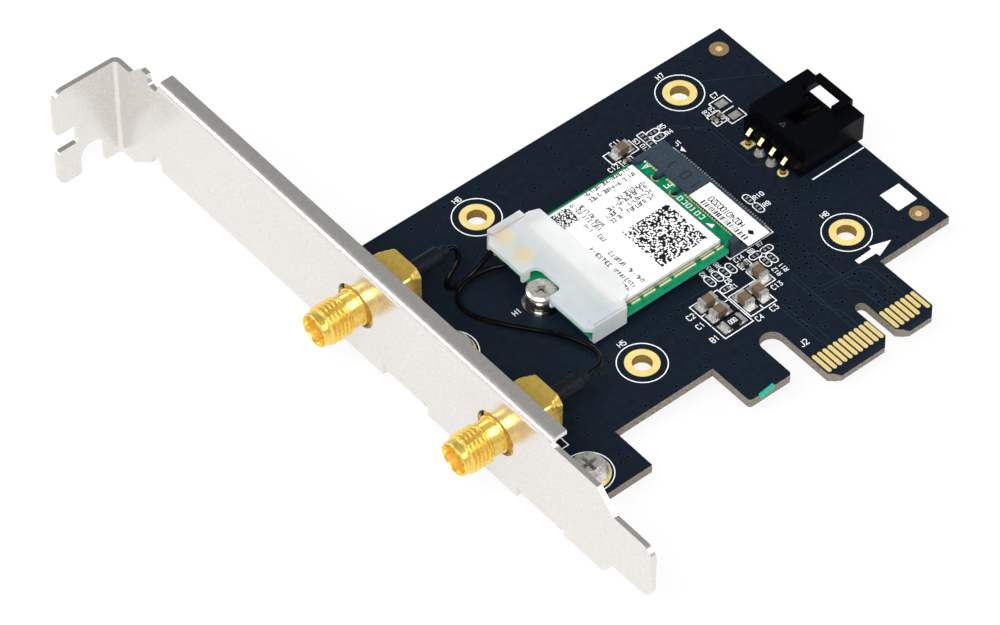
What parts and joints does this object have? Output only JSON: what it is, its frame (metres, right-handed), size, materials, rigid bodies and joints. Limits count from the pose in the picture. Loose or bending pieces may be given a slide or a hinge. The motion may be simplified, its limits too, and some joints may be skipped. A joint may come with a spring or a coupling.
{
  "type": "pcie wifi card",
  "caption": "Small desktop expansion card with a steel slot bracket, gold edge fingers, threaded antenna jacks and a radio module held under a clear clip.",
  "frame": {"origin": "middle of the key notch, 0.87 mm above the tip of the edge tongue, at the board's component face", "axes": "+X along the card away from its bracket, +Y along the bracket towards its screw tab, +Z out of the component side"},
  "size_m": [0.0929, 0.12, 0.022],
  "materials": {
    "bracket_steel": "satin",
    "black_board": "gloss",
    "contact_gold": "polished",
    "jack_brass": "polished",
    "screw_steel": "polished",
    "white_plastic": "matte",
    "black_sleeve": "matte",
    "black_cable": "gloss",
    "green_board": "gloss",
    "shield_steel": "satin",
    "label_paper": "matte",
    "slate_plastic": "satin",
    "tinned_metal": "polished",
    "clear_plastic": "gloss",
    "black_plastic": "satin",
    "capacitor_ceramic": "matte",
    "resistor_black": "matte"
  },
  "bodies": {
    "root": {"bracket": "bracket_steel", "main_board": "black_board", "edge_contacts_front": "contact_gold", "edge_contacts_back": "contact_gold", "plated_holes": "contact_gold", "gold_lands": "contact_gold", "bracket_screws": "screw_steel", "module_standoff": "screw_steel", "module_screw": "screw_steel", "antenna_jack_1": "jack_brass", "antenna_jack_2": "jack_brass", "jack_pin_1": "jack_brass", "jack_pin_2": "jack_brass", "jack_insulator_1": "white_plastic", "jack_insulator_2": "white_plastic", "crimp_sleeve_1": "black_sleeve", "crimp_sleeve_2": "black_sleeve", "coax_lead_1": "black_cable", "coax_lead_2": "black_cable", "module_board": "green_board", "module_contacts": "contact_gold", "shield_frame": "shield_steel", "shield_lid": "shield_steel", "module_label": "label_paper", "socket_housing": "slate_plastic", "socket_tails_back": "tinned_metal", "socket_anchors": "tinned_metal", "socket_sticker": "label_paper", "antenna_receptacles": "contact_gold", "antenna_plug_1": "contact_gold", "antenna_plug_2": "contact_gold", "retaining_clip": "clear_plastic", "header_housing": "black_plastic", "header_pins": "contact_gold", "header_solder": "tinned_metal", "capacitors": "capacitor_ceramic", "capacitor_ends": "tinned_metal", "link_resistor": "resistor_black", "link_resistor_ends": "tinned_metal", "solder_pads": "tinned_metal"}
  },
  "joints": []
}
